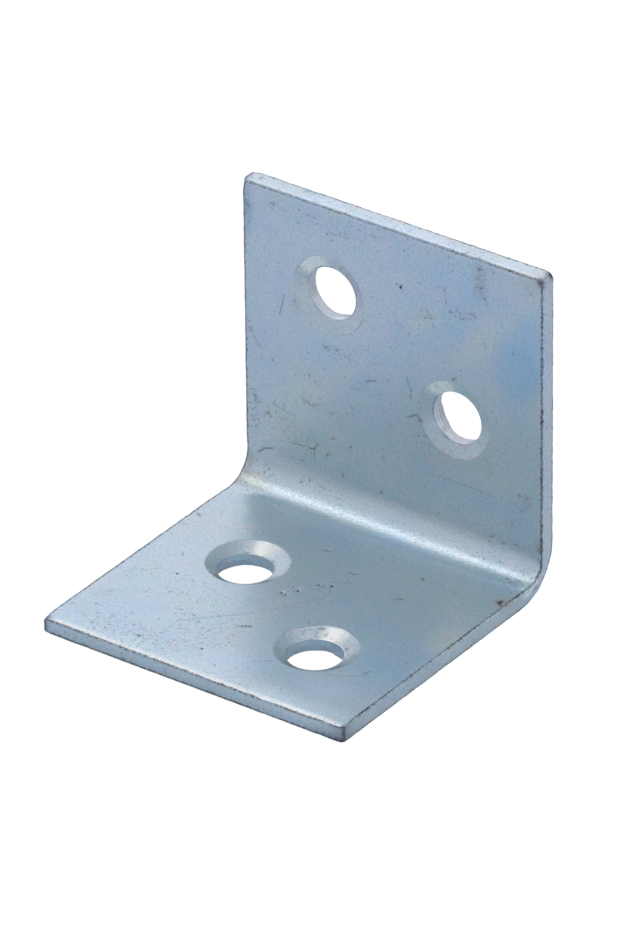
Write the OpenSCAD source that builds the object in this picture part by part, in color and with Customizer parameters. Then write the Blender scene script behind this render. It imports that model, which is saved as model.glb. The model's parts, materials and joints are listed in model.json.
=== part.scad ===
// Corner brace: one strip of sheet steel, folded square, with two staggered
// countersunk screw holes in each leg.
// X runs along the fold, the upright leg's back faces +Y, and +Z is up.
// The foot's underside lies on z = 0, and the origin is under the middle of the brace.

/* [Strip] */
// Width of the strip, measured along the fold
strip_w = 40; // [30:0.5:80]
// Thickness of the sheet
sheet_t = 2; // [1.5:0.1:4]
// Length of the foot, from the upright's back face to the free end
foot_len = 39.5; // [36:0.5:80]
// Height of the upright leg, from the foot's underside to the free end
upright_h = 39.5; // [36:0.5:80]

/* [Fold] */
// Inner radius of the fold
fold_r = 4; // [1:0.5:8]

/* [Edges] */
// Rounding of the strip's long edges on the outer face, where the shear drew them over
outer_edge_r = 0.25; // [0.1:0.05:0.7]
// Rounding of the strip's long edges on the inner face
inner_edge_r = 0.2; // [0.1:0.05:0.7]
// Rounding of both edges of each free end
end_edge_r = 0.25; // [0.1:0.05:0.7]

/* [Screw holes] */
// Diameter of the screw holes
hole_d = 6.3; // [3.5:0.1:7.5]
// Diameter of the countersinks at the inner face
sink_d = 9.5; // [8:0.1:11.5]
// Depth of the countersinks
sink_depth = 0.5; // [0.2:0.05:1.2]
// Distance of each leg's near hole from the outer face of the other leg
near_hole = 18.2; // [16:0.1:22]
// Distance of each leg's far hole from the outer face of the other leg
far_hole = 28.4; // [24:0.1:30]
// Distance between the two lines of holes, measured across the strip
line_gap = 16.7; // [12:0.1:18]

/* [Hidden] */
$fn = 96;
zinc = [0.60, 0.69, 0.78];
// How far a cutter reaches past the face that it cuts
reach = 0.1;
half_w = strip_w / 2;
// Outer radius of the fold. Each leg is flat beyond this distance from the other's outer face.
heel_r = fold_r + sheet_t;
// The holes of a leg: place across the strip, and distance from the other leg's outer face
hole_places = [[-line_gap / 2, near_hole], [line_gap / 2, far_hole]];

// The scrap outside a round of radius r, in a square corner that opens to +x and +y
module corner_scrap(r) {
    difference() {
        square(r);
        translate([r, r]) circle(r);
    }
}

// The scrap at one end of a bar. The end lies at x = 0 and the bar runs to +x,
// with its outer face on y = 0 and its inner face on y = sheet_t.
module end_scrap(outer_r, inner_r) {
    corner_scrap(outer_r);
    translate([0, sheet_t]) mirror([0, 1]) corner_scrap(inner_r);
}

// Cross-section of the strip, with x across it
module strip_section() {
    difference() {
        translate([-half_w, 0]) square([strip_w, sheet_t]);
        for (side = [0, 1])
            mirror([side, 0]) translate([-half_w, 0]) end_scrap(outer_edge_r, inner_edge_r);
    }
}

// Side view of a leg's flat part, with the free end at x = -flat
module leg_side(flat) {
    difference() {
        translate([-flat, 0]) square([flat, sheet_t]);
        translate([-flat, 0]) end_scrap(end_edge_r, end_edge_r);
    }
}

// The solids below are placed about the axis of the fold, at the middle of the strip.
// The foot's flat part: the section run out to the free end, with that end's edges rounded
module leg(flat) {
    translate([0, 0, -heel_r]) intersection() {
        rotate([90, 0, 0]) linear_extrude(flat) strip_section();
        translate([-half_w, 0, 0]) rotate([90, 0, 90]) linear_extrude(strip_w) leg_side(flat);
    }
}

// The section turned a quarter round, from the foot up to the upright
module fold() {
    rotate([0, 90, 0]) rotate_extrude(angle = 90)
        translate([heel_r, 0]) rotate(90) strip_section();
}

// A cutter for one hole, in a sheet that lies with its outer face on z = 0
module screw_hole() {
    widening = (sink_d - hole_d) / sink_depth;
    translate([0, 0, -reach]) cylinder(d = hole_d, h = sheet_t);
    translate([0, 0, sheet_t - sink_depth])
        cylinder(d1 = hole_d, d2 = sink_d + widening * reach, h = sink_depth + reach);
}

// The cutters for the foot's holes
module leg_holes() {
    for (place = hole_places)
        translate([place[0], heel_r - place[1], -heel_r]) screw_hole();
}

// Half a turn about the line that halves the angle of the fold. It swaps the legs, and
// left with right, so that holes stand opposite gaps.
module swap_legs() {
    rotate(180, [0, -1, 1]) children();
}

module bracket() {
    color(zinc) translate([0, foot_len / 2 - heel_r, heel_r]) difference() {
        union() {
            leg(foot_len - heel_r);
            fold();
            swap_legs() leg(upright_h - heel_r);
        }
        leg_holes();
        swap_legs() leg_holes();
    }
}

bracket();
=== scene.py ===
"""The looks of a corner brace: a zinc plated strip of sheet steel, sheared, punched and folded square.

The strip is built flat, in the coordinates of the developed sheet, and then folded. A point of
the sheet is (across, along, depth) in millimetres: across runs over the strip's width, along
runs over the inner face from the foot's free end to the upright's, and depth goes from the
inner face into the metal.
"""
import json
import math

import bmesh
import bpy
import numpy as np
from mathutils import Matrix, Vector, noise
from mathutils.geometry import delaunay_2d_cdt


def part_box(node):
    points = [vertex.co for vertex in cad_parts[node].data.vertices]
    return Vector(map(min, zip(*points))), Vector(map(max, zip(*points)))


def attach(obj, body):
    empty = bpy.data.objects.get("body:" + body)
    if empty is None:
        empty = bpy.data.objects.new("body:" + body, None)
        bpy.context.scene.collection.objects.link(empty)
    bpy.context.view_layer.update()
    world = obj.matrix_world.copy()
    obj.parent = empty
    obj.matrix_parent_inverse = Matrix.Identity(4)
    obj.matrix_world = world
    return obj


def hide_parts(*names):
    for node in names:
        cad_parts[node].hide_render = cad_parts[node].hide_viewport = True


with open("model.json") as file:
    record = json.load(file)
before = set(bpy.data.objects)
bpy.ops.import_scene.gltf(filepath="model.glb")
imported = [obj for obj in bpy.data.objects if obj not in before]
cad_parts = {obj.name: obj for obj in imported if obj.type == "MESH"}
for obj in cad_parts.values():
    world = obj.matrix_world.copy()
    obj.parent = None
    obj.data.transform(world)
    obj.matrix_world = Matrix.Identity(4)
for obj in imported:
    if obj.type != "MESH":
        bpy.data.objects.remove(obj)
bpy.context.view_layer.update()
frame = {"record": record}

MM = 0.001

# ---- sizes, in millimetres
low, high = (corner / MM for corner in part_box("bracket"))
WIDTH = high.x - low.x
FOOT = high.y - low.y
RISE = high.z - low.z
SHEET = 2.0
FOLD_R = 4.0
HEEL = FOLD_R + SHEET
FOOT_FLAT = FOOT - HEEL
BEND = FOLD_R * math.pi / 2
LENGTH = FOOT_FLAT + BEND + RISE - HEEL

# The strip's outline and its sheared edges. The corners go front left, front right, top right, top left.
CORNER_RADII = (0.12, 0.65, 0.90, 0.32)
LEAST_RADIUS = 0.08
EDGE_STEP = 0.22
CORNER_STEPS = 8
INNER_R = 0.14
INNER_TOP_R = 0.18
OUTER_R = 0.15
EDGE_RING = 0.95
RING_GAP = 0.3
INNER_STEPS = 5
OUTER_STEPS = 4
ARRIS = math.pi / 4
ROLLOVER_DROP = 0.13
ROLLOVER_REACH = 1.2

# The ends of the fold: the inner radius shrinks towards the right end, and the left end droops
TIGHT_BY = 0.9
PINCH_BY = 1.0
PINCH_REACH = 0.7
DROOP = 0.32
DROOP_REACH = 1.7

# The screw holes: a countersink that is not quite centred on its bore
RIM_R = 4.75
SINK_DEPTH = 0.5
HOLE_STEPS = 128
SOFT_RIM = 0.006
LIP = 0.05
BREAKOUT = 0.16
GROOVE_SHIFT = 9

# Spacing of the points on the faces, and how much of the fold's ends has them closer together
FLAT_STEP = 0.7
BEND_STEP = 0.26
BEND_END = 4.2
BEND_END_STEP = 0.33
FREE_END = 5.0
FREE_END_STEP = 0.4

# How deep the marks go, as shares of their radius or half width, and how they fall off
PIT_DEPTH = 0.25
DOT_DEPTH = 0.35
STROKE_DEPTH = 0.2
MARK_FALL = 0.9

# How close together the points of the marks may lie, and how clear of the loops round a face
MARK_SPACING = 0.045
MARK_CLEARANCE = 0.06
GRID_CLEARANCE = 0.2
# How many spots are measured against the others at a time
BLOCK = 500

# ---- marks
# Pits: across, along, radius, share of rust
PITS = [
    (-2.7, 29.0, 0.24, 0.1), (-3.0, 28.8, 0.16, 0.1), (2.45, 26.6, 0.2, 0.1), (9.3, 30.0, 0.22, 0.7),
    (13.9, 29.7, 0.1, 0.3), (1.3, 22.6, 0.14, 0.5), (1.7, 24.0, 0.14, 0.4), (2.5, 24.4, 0.12, 0.3),
    (3.3, 24.8, 0.12, 0.4), (-18.9, 27.1, 0.2, 0.1), (-19.2, 24.6, 0.15, 0.1), (-19.0, 4.1, 0.16, 0.1),
    (11.25, 70.6, 0.16, 0.2), (11.9, 69.6, 0.17, 0.4), (11.6, 71.8, 0.2, 0.5), (12.3, 68.4, 0.15, 0.4),
    (1.2, 66.25, 0.19, 0.2), (12.4, 62.4, 0.14, 0.2), (-13.1, 60.0, 0.14, 0), (8.2, 57.0, 0.19, 0),
    (-9.0, 55.4, 0.16, 0), (-7.5, 55.5, 0.14, 0.1), (-5.85, 55.0, 0.15, 0), (-19.1, 54.3, 0.26, 0),
    (-1.25, 43.9, 0.16, 0), (-5.7, 43.8, 0.14, 0), (-8.0, 44.1, 0.13, 0), (-8.4, 47.1, 0.13, 0),
    (-5.45, 48.85, 0.15, 0), (-16.2, 51.5, 0.13, 0), (-11.2, 51.1, 0.13, 0), (-8.8, 41.8, 0.16, 0),
    (-16.9, 44.4, 0.17, 0.1), (-16.5, 44.2, 0.12, 0), (-18.3, 43.2, 0.14, 0), (-18.6, 46.1, 0.18, 0),
    (16.9, 45.3, 0.13, 0.2), (17.8, 45.1, 0.14, 0.2), (18.2, 44.6, 0.12, 0.1), (17.5, 43.9, 0.13, 0.4),
    (16.0, 41.3, 0.14, 0.1), (14.7, 38.6, 0.13, 0), (19.3, 40.1, 0.2, 0.8), (19.4, 39.2, 0.18, 0.7),
    (-16.2, 71.2, 0.15, 0), (-10.3, 71.3, 0.15, 0), (-2.3, 71.4, 0.15, 0), (-19.3, 70.0, 0.26, 0.1),
    (7.0, 67.7, 0.12, 0), (7.9, 65.3, 0.12, 0), (9.1, 65.4, 0.12, 0), (10.4, 65.9, 0.13, 0),
    (9.3, 64.9, 0.11, 0), (11.0, 65.7, 0.11, 0), (4.7, 64.3, 0.12, 0), (5.3, 63.7, 0.11, 0),
    (5.9, 14.9, 0.12, 0.1), (6.5, 15.1, 0.12, 0.2), (6.2, 14.2, 0.11, 0.3), (7.2, 14.8, 0.16, 0),
    (10.6, 13.9, 0.2, 0.5), (12.2, 12.9, 0.18, 0.4), (-15.8, 15.2, 0.13, 0), (-11.8, 12.1, 0.13, 0),
    (-8.7, 9.8, 0.13, 0), (-6.7, 9.6, 0.12, 0), (-5.5, 8.8, 0.12, 0), (-1.4, 10.5, 0.12, 0),
    (-17.3, 8.5, 0.14, 0.2), (-16.9, 5.5, 0.13, 0), (-9.1, 2.8, 0.17, 0), (-14.9, 2.1, 0.14, 0.1),
    (-18.1, 52.8, 0.14, 0), (-16.2, 51.3, 0.13, 0), (-11.0, 37.9, 0.13, 0.1), (-12.0, 37.4, 0.13, 0.1),
    (3.5, 48.3, 0.13, 0), (4.3, 48.6, 0.12, 0), (5.1, 48.0, 0.13, 0), (6.6, 47.5, 0.12, 0),
    (-6.7, 39.9, 0.14, 0), (-1.6, 39.4, 0.15, 0), (13.2, 38.8, 0.12, 0.1), (16.4, 38.9, 0.12, 0.1),
    (18.3, 70.9, 0.12, 0), (13.4, 72.0, 0.14, 0.1), (7.2, 66.3, 0.12, 0), (-15.8, 71.2, 0.14, 0),
    (17.6, 34.9, 0.13, 0.7), (18.4, 35.4, 0.12, 0.7), (19.0, 35.1, 0.12, 0.8), (17.0, 35.2, 0.1, 0.5),
]

# Round black dots: across, along, radius
DOTS = [
    (2.0, 23.1, 0.19), (1.3, 22.6, 0.13), (0.7, 22.5, 0.17), (-0.45, 20.2, 0.18), (-1.7, 18.85, 0.18),
    (-1.1, 18.8, 0.13), (-13.4, 15.6, 0.14), (19.0, 30.85, 0.4), (19.3, 30.3, 0.26), (-1.9, 4.5, 0.14),
    (1.2, 2.6, 0.1), (3.4, 30.9, 0.09), (9.2, 30.0, 0.09), (-15.4, 19.3, 0.09), (1.15, 66.2, 0.16),
    (1.3, 66.5, 0.1), (-9.1, 2.8, 0.14),
]

# Strokes: half width, share of black, and the points that each runs through
STROKES = [
    (0.055, 0.5, [(2.2, 22.7), (2.8, 21.7), (2.6, 20.7), (1.4, 18.6), (0.15, 16.4), (-1.1, 14.6),
                  (-2.1, 13.2), (-4.7, 10.6), (-7.2, 8.1)]),
    (0.05, 0.3, [(-3.4, 7.7), (-5.0, 6.5)]), (0.06, 0.55, [(6.15, 7.4), (5.0, 6.3), (4.1, 5.5)]),
    (0.05, 0.45, [(15.7, 10.1), (13.9, 8.95), (12.1, 8.1)]),
    (0.14, 0.95, [(-1.15, 10.75), (-0.75, 11.0), (-0.4, 11.2)]), (0.12, 0.85, [(9.4, 24.85), (9.8, 25.1)]),
    (0.11, 0.7, [(15.7, 11.2), (15.5, 10.7), (15.35, 10.2)]), (0.1, 0.85, [(2.0, 26.5), (2.9, 26.75)]),
    (0.11, 0.75, [(-3.0, 28.85), (-2.45, 29.1)]), (0.08, 0.6, [(4.1, 15.9), (4.6, 15.3)]),
    (0.08, 0.6, [(3.35, 12.5), (3.7, 11.7)]), (0.08, 0.45, [(-9.4, 2.9), (-8.9, 3.2), (-8.6, 2.8)]),
    (0.07, 0.4, [(-11.2, 2.2), (-10.8, 2.5)]), (0.06, 0.35, [(-15.7, 19.7), (-15.2, 19.1)]),
    (0.07, 0.75, [(2.0, 55.1), (2.15, 54.3), (2.5, 53.95), (2.5, 52.8)]),
    (0.13, 0.8, [(2.3, 50.35), (3.3, 50.95), (3.8, 50.2)]),
    (0.11, 0.65, [(-3.4, 52.9), (-2.9, 53.15), (-2.4, 53.3)]),
    (0.07, 0.7, [(-14.6, 60.1), (-14.8, 58.9), (-15.15, 57.7)]),
    (0.09, 0.65, [(-13.5, 41.7), (-12.0, 41.85)]),
    (0.11, 0.8, [(-11.2, 41.85), (-10.7, 41.8), (-10.2, 42.6)]),
    (0.07, 0.55, [(-10.6, 41.7), (-10.6, 40.8)]),
    (0.11, 0.75, [(-18.3, 39.0), (-17.5, 39.7), (-16.4, 40.05)]),
    (0.07, 0.5, [(-12.3, 47.9), (-11.5, 47.6)]), (0.07, 0.5, [(-11.2, 47.3), (-9.9, 47.75)]),
    (0.05, 0.45, [(4.6, 44.0), (8.0, 44.15), (12.9, 44.05)]), (0.07, 0.5, [(-19.0, 46.4), (-18.2, 45.3)]),
    (0.07, 0.45, [(-16.2, 45.9), (-14.7, 45.5)]), (0.07, 0.5, [(11.2, 71.9), (11.9, 72.0), (12.3, 71.3)]),
    (0.06, 0.45, [(11.5, 50.0), (11.9, 48.9), (12.9, 47.8)]),
    (0.06, 0.4, [(-8.6, 70.1), (-7.2, 70.0), (-5.8, 70.2)]), (0.06, 0.75, [(5.6, 15.2), (6.4, 15.6)]),
    (0.06, 0.75, [(6.0, 14.6), (7.0, 15.0)]), (0.08, 0.85, [(7.0, 15.2), (7.5, 14.7)]),
    (0.06, 0.65, [(7.6, 14.8), (8.9, 14.4)]), (0.05, 0.5, [(-18.8, 45.9), (-18.5, 45.2)]),
    (0.05, 0.5, [(-18.5, 44.4), (-18.2, 43.8)]), (0.05, 0.45, [(-18.9, 43.0), (-18.6, 42.5)]),
    (0.05, 0.45, [(-16.0, 46.0), (-15.7, 45.4)]), (0.06, 0.55, [(-17.2, 44.5), (-16.7, 44.3)]),
    (0.05, 0.5, [(-15.0, 44.3), (-14.5, 44.5)]), (0.05, 0.45, [(-13.6, 45.3), (-13.2, 45.0)]),
    (0.05, 0.45, [(-13.1, 47.1), (-12.7, 46.8)]), (0.05, 0.4, [(-15.4, 41.6), (-15.1, 41.3)]),
    (0.06, 0.4, [(-5.7, 51.3), (-4.6, 51.4)]), (0.06, 0.5, [(4.4, 63.4), (5.2, 63.7)]),
    (0.05, 0.45, [(-10.5, 50.6), (-10.1, 50.3)]), (0.06, 0.35, [(-9.9, 37.6), (-8.8, 37.6)]),
    (0.06, 0.5, [(15.9, 41.6), (15.8, 40.9)]), (0.05, 0.45, [(12.2, 50.3), (12.5, 49.9)]),
    (0.06, 0.5, [(16.4, 43.9), (16.9, 43.6)]), (0.05, 0.45, [(17.3, 45.2), (17.7, 45.5)]),
    (0.05, 0.45, [(18.2, 44.7), (18.4, 44.2)]), (0.06, 0.45, [(9.6, 51.9), (10.5, 50.6), (11.3, 49.9)]),
]

# Dirt at the strip's corners and edges: across, along, depth, radius, strength
CORNER_DIRT = [
    (19.74, 73.0, 1.75, 0.5, 1.0), (19.6, 72.75, 0.1, 0.46, 1.0), (19.75, 72.2, 0.1, 0.26, 0.85),
    (19.45, 73.2, 2.0, 0.32, 0.85), (-19.9, 72.8, 0.2, 0.3, 0.7), (-19.8, 73.2, 1.9, 0.3, 0.7),
    (-12.3, 73.3, 1.6, 0.34, 0.45), (-11.3, 73.3, 1.75, 0.3, 0.45), (-19.8, 0.2, 1.9, 0.36, 0.95),
    (-19.6, 0.3, 0, 0.36, 0.8), (19.85, 0.1, 1.85, 0.5, 1.0), (19.1, 0, 1.95, 0.5, 1.0),
    (18.3, 0, 1.98, 0.52, 1.0), (17.4, 0, 2.0, 0.48, 0.95), (16.5, 0, 2.0, 0.42, 0.85),
    (15.5, 0, 2.0, 0.35, 0.7), (-14.6, 0, 1.9, 0.3, 0.7), (-9.2, 0, 1.85, 0.35, 0.8),
    (-8.2, 0, 1.9, 0.3, 0.7), (20.0, 35.6, 1.2, 0.2, 0.75), (20.0, 55.0, 0.9, 0.12, 0.5),
    (20.0, 12.4, 1.6, 0.2, 0.5),
]

# Corners that the shear has drawn over: across, along, radius added to the inner and outer edge, reach
ROLLED_CORNERS = [(-20.0, 0, 0.24, 0.18, 0.7), (-20.0, 73.3, 0.45, 0.34, 0.9), (20.0, 73.3, 0.16, 0, 0.8),
                  (20.0, 0, -0.08, 0, 1.6)]

# How dark the line along each arris is, on the right, top, front and left side, and how much it varies
INNER_INK = (0.92, 0.68, 0.85, 0.80, 0.25)
OUTER_INK = (0.80, 0.95, 1.00, 0.80, 0.35)

# How far the inner line lies towards the cut, on the top, right, left and front side
LINE_SHIFT = (0.25, 0.13, 0.13, -0.04)

# Darker stretches of the sheared edge: across, along, loss, reach
EDGE_SHADES = [(20.0, 0.2, 0.22, 1.3), (20.0, 1.5, 0.12, 2.2), (17.0, 0, 0.1, 4.0)]

# Dirty seams where two sheared edges meet: across, along, radius, strength
CORNER_SEAMS = [
    (-19.98, 73.25, 0.42, 1.0), (-20.0, 0, 0.46, 1.0), (19.92, 0.33, 0.23, 0.8),
    (19.75, 73.05, 0.14, 0.65),
]

# How a patch fades: the shares of its size where it begins to fade and where it ends
SOFT = (0.45, 1.45)
EDGED = (0.72, 1.18)

# Worn patches with more specks and scribbles: across, along, half width, half length, turn, share
BASE_WEAR = 0.22
CUT_WEAR = 0.6
WORN = [
    (-18.8, 44.0, 1.0, 4.0, 0, 1.0), (-15.5, 44.6, 2.8, 2.6, 0, 0.8), (-12.0, 41.8, 3.5, 1.6, 0, 0.7),
    (-11.0, 47.6, 2.0, 1.0, 10, 0.8), (-10.5, 51.0, 2.0, 1.6, 0, 0.5), (-7.0, 55.2, 3.0, 1.2, 0, 0.8),
    (-19.3, 54.0, 0.7, 1.8, 0, 0.9), (-19.5, 68.0, 0.5, 5.0, 0, 0.9), (-9.0, 70.5, 9.0, 1.8, 0, 0.75),
    (2.0, 72.0, 9.0, 1.2, 0, 0.6), (9.4, 65.4, 2.6, 1.0, 8, 1.0), (4.8, 63.8, 1.4, 1.2, 0, 0.8),
    (4.5, 67.5, 3.0, 1.0, 15, 0.55), (11.6, 70.5, 1.3, 2.8, 0, 0.9), (17.4, 44.5, 1.4, 1.6, 0, 0.9),
    (4.0, 47.8, 2.6, 1.8, 0, 0.6), (14.0, 38.8, 3.0, 0.7, 0, 0.7), (-17.5, 36.8, 2.4, 1.4, 0, 0.8),
    (18.3, 36.6, 2.0, 1.4, 0, 0.7), (-9.0, 37.5, 5.0, 0.8, 0, 0.5), (5.5, 14.8, 1.7, 1.9, -20, 1.0),
    (-10.0, 3.0, 9.0, 3.0, 0, 0.75), (-4.0, 7.0, 5.0, 4.0, 0, 0.7), (-16.5, 13.5, 2.5, 3.5, 0, 0.6),
    (-10.0, 12.0, 8.0, 5.0, 0, 0.5), (9.0, 2.5, 9.0, 2.5, 0, 0.5), (0.5, 20.5, 4.0, 3.0, 0, 0.5),
]

# Soft patches of colour, a few of them painted light: across, along, half width, half length, turn,
# factors of red, green and blue
TINTS = [
    (17.3, 62.5, 3.0, 6.5, -8, (0.88, 0.96, 1.02)), (4.2, 69.3, 3.2, 2.2, 0, (0.91, 0.98, 1.02)),
    (8.0, 69.8, 3.6, 3.0, 0, (0.92, 0.97, 1.03)), (-17.0, 52.0, 3.0, 6.0, 0, (0.98, 1.0, 1.03)),
    (-9.8, 54.4, 2.8, 2.3, 0, (0.89, 0.98, 1.04)), (-12.0, 46.0, 5.0, 4.0, 0, (1.05, 1.03, 0.97)),
    (17.0, 41.5, 2.4, 3.0, 0, (0.93, 0.98, 1.03)), (2.0, 42.5, 6.0, 2.5, 0, (0.98, 1.0, 1.01)),
    (-3.0, 50.0, 5.0, 3.0, 0, (0.98, 0.99, 1.02)), (-18.6, 44.0, 0.7, 3.0, 0, (0.97, 1.0, 1.03)),
    (4.5, 63.0, 3.0, 2.5, 0, (1.04, 1.03, 0.96)), (-12.3, 62.2, 1.6, 3.5, 0, (1.06, 1.01, 0.96)),
    (-2.0, 46.3, 2.6, 1.9, 0, (0.92, 1.0, 1.02)), (12.0, 43.0, 2.4, 2.0, 0, (0.92, 0.99, 1.03)),
    (-12.3, 43.6, 2.2, 1.2, 0, (0.91, 0.95, 0.98)), (6.0, 46.3, 2.2, 1.7, 0, (1.05, 1.0, 0.97)),
    (-19.6, 69.8, 0.9, 3.2, 0, (0.82, 0.84, 0.88)), (3.0, 34.3, 4.0, 0.8, 0, (0.94, 0.99, 1.07)),
    # The patch at 18.6 across, 20.6 along paints a pale reflection on the foot's right border, with a warm
    # tan tone.
    (13.0, 26.5, 7.0, 6.0, 0, (1.07, 1.01, 0.97)), (18.6, 20.6, 1.9, 2.6, 20, (1.14, 1.06, 0.98)),
    (0, 22.0, 5.0, 6.0, 0, (1.04, 1.0, 0.98)), (-0.8, 12.5, 2.0, 7.0, 8, (1.08, 1.01, 0.97)),
    (16.5, 13.5, 3.5, 5.0, 0, (0.93, 0.99, 1.02)), (6.2, 5.6, 2.6, 2.0, 0, (0.93, 0.99, 1.0)),
    (-13.5, 26.0, 2.6, 4.2, 15, (1.06, 1.01, 0.94)), (-17.8, 26.5, 1.6, 4.0, 0, (1.02, 0.97, 0.95)),
    # The patches across the fold at 38.1 and 35.0 along are painted shade that dims the sheen about its
    # bright streak.
    (0, 66.0, 24.0, 13.0, 0, (1.03, 1.04, 1.09)), (0, 38.1, 30.0, 1.3, 0, (0.92, 0.93, 0.94)),
    (0, 35.0, 30.0, 0.45, 0, (0.93, 0.92, 0.92)), (-19.9, 36.6, 1.3, 2.2, 0, (0.8, 0.76, 0.76)),
    (-19.9, 24.0, 0.35, 12.0, 0, (0.93, 0.9, 0.88)), (0, 1.0, 26.0, 1.6, 0, (1.07, 1.07, 1.06)),
    (14.0, 1.5, 6.0, 2.0, 0, (1.15, 1.12, 1.09)), (1.6, 4.2, 3.2, 2.2, 0, (1.07, 1.07, 1.1)),
    (14.0, 5.6, 3.4, 1.8, 0, (1.04, 1.06, 1.1)), (18.3, 64.6, 1.6, 2.6, 0, (0.9, 0.97, 1.02)),
    # The patch at 20.0 across, 35.3 along is a painted highlight that brightens the streak's right end.
    (-17.6, 35.8, 2.4, 1.2, 0, (0.92, 0.88, 0.77)), (20.0, 35.3, 1.3, 1.3, 0, (1.5, 1.44, 1.32)),
]

# The same with a clearer edge, where the passivated film is thicker or thinner
EDGED_TINTS = [
    (13.8, 64.9, 1.25, 8.2, -42, (1.07, 1.03, 0.97)), (8.8, 64.6, 1.9, 7.2, -34, (0.92, 0.98, 1.02)),
    (16.4, 60.5, 3.3, 3.6, -35, (0.87, 0.95, 1.01)),
]

# Rust and grease stains: across, along, half width, half length, strength
STAINS = [
    (19.2, 31.0, 0.9, 1.3, 0.9), (18.6, 21.3, 1.3, 1.6, 0.3), (9.9, 25.2, 0.5, 0.3, 0.5),
    (11.8, 69.8, 0.9, 2.4, 0.35), (18.3, 72.0, 1.3, 1.0, 0.3), (19.3, 39.7, 0.6, 0.9, 0.5),
    (-13.0, 59.2, 0.6, 1.6, 0.25), (-13.1, 1.6, 0.7, 0.6, 0.3), (-5.2, 1.9, 0.9, 0.4, 0.25),
    (3.6, 50.3, 0.8, 0.6, 0.25), (-17.5, 7.8, 1.2, 1.0, 0.2),
]

# How each screw hole differs from a plain one. The first row says how far its countersink is off the
# bore, across and along. The others are sectors of the hole: the direction in degrees, a share, the half
# width in radians and, where it's given, how sharply the sector ends. A share of "torn" is in millimetres.
# The scraped side is pale plating that also stands in for a highlight, the glint is a highlight painted into
# the colour, and the dull side is painted shade
HOLE_FAULTS = {
    "foot_near_hole": {
        "off_centre": (-0.15, 0.68),
        "scraped_and_highlight": (94, 0.85, 0.38, 4),
        "painted_glint": (102, 0.5, 0.17),
        "painted_shade": (300, 0.42, 0.6),
        "rubbed": (150, 0.35, 0.35),
        "torn": (150, 0.05, 0.4),
        "nick": (150, 0.2, 0.3),
    },
    "foot_far_hole": {
        "off_centre": (-0.12, 0.62),
        "scraped_and_highlight": (94, 0.85, 0.38, 4),
        "painted_glint": (98, 0.55, 0.18),
        "painted_shade": (300, 0.45, 0.6),
        "torn": (74, 0.16, 0.24, 4),
        "nick": (106, 0.7, 0.1),
    },
    "upright_near_hole": {
        "off_centre": (-0.2, -0.15),
        "scraped_and_highlight": (119, 1.0, 0.46, 4),
        "painted_shade": (55, 0.06, 0.8),
        "rubbed": (200, 0.9, 0.6),
        "torn": (205, 0.42, 0.48, 4),
        "nick": (215, 0.8, 0.3),
    },
    "upright_far_hole": {
        "off_centre": (-0.12, -0.1),
        "scraped_and_highlight": (125, 1.2, 0.44, 4),
        "painted_shade": (35, 0.16, 0.8),
        "rubbed": (290, 0.7, 0.35),
        "torn": (286, 0.12, 0.3),
        "nick": (-52, 0.9, 0.22),
    },
}
NO_FAULT = (0, 0, 1.0)

# How the loops of points of a hole and of the sheared edge are spaced, as shares of the way down
CUT_SHARES = (0.06, 0.15, 0.35, 0.65, 0.85, 0.94)
SINK_SHARES = (0.03, 0.10, 0.22, 0.35, 0.50, 0.65, 0.80, 0.92, 0.985)
BREAKOUT_SHARES = (0.15, 0.45, 0.75, 1.0)
# The bore's wall: the share of the way down, how rubbed it is there, and how far the tear stands in
WALL = (
    (0.05, 0, 0), (0.14, 1.0, 0), (0.21, 1.0, 0.20), (0.28, 0, 0.20), (0.52, 0, 0.24),
    (0.60, 0.8, 0.24), (0.68, 0.8, 0.46), (0.76, 0, 0.48), (1.0, 0, 0.66),
)

# Colour factors: for the holes of each leg, of the countersinks, their scraped side and the bores, then
# of a painted glint, a highlight painted into the countersink's colour, and of the sheared edges
# The foot's bore factors darken its bore walls and make them bluer: mostly painted shade in the holes.
FOOT_HUES = ((1.0, 0.98, 0.95), (1.04, 1.03, 0.98), (0.74, 0.88, 0.95))
UPRIGHT_HUES = ((1.0, 1.0, 0.98), (0.95, 1.05, 1.01), (0.9, 0.87, 0.85))
PAINTED_GLINT_HUE = (1.1, 0.98, 0.62)
# The sheared edge's factors for each side paint part of how the light falls on it: the top lighter, the front
# and left darker.
RIGHT_FOOT_EDGE = (0.94, 1.01, 1.03)
RIGHT_UPRIGHT_EDGE = (1.01, 1.01, 1.02)
FRONT_EDGE = (0.885, 0.97, 1.01)
TOP_EDGE = (1.09, 1.11, 1.07)
LEFT_EDGE = (0.88, 0.92, 0.96)


def wobble(x, y, seed):
    """A smooth random value from -1 to 1 that is the same on every run."""
    return noise.noise(Vector((x, y, 17.3 * seed + 0.37)))


def wobbles(points, scale, seed):
    """wobble at each of some (x, y) points, with features about 1 / scale apart."""
    return np.array([wobble(x * scale, y * scale, seed) for x, y in points])


def smooth(value, start, end):
    """0 below start, 1 above end, and a smooth curve between them."""
    share = np.clip((value - start) / (end - start), 0, 1)
    return share * share * (3 - 2 * share)


def folded(sheet_points):
    """Where points of the developed sheet lie on the folded brace, in metres."""
    across, along, depth = np.asarray(sheet_points, float).T
    turn = np.clip((along - FOOT_FLAT) / FOLD_R, 0, math.pi / 2)
    radius = FOLD_R + depth
    y = low.y + np.minimum(along, FOOT_FLAT) + radius * np.sin(turn)
    z = low.z + HEEL - radius * np.cos(turn) + np.maximum(along - FOOT_FLAT - BEND, 0)
    return np.stack([across, y, z], 1) * MM


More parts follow.
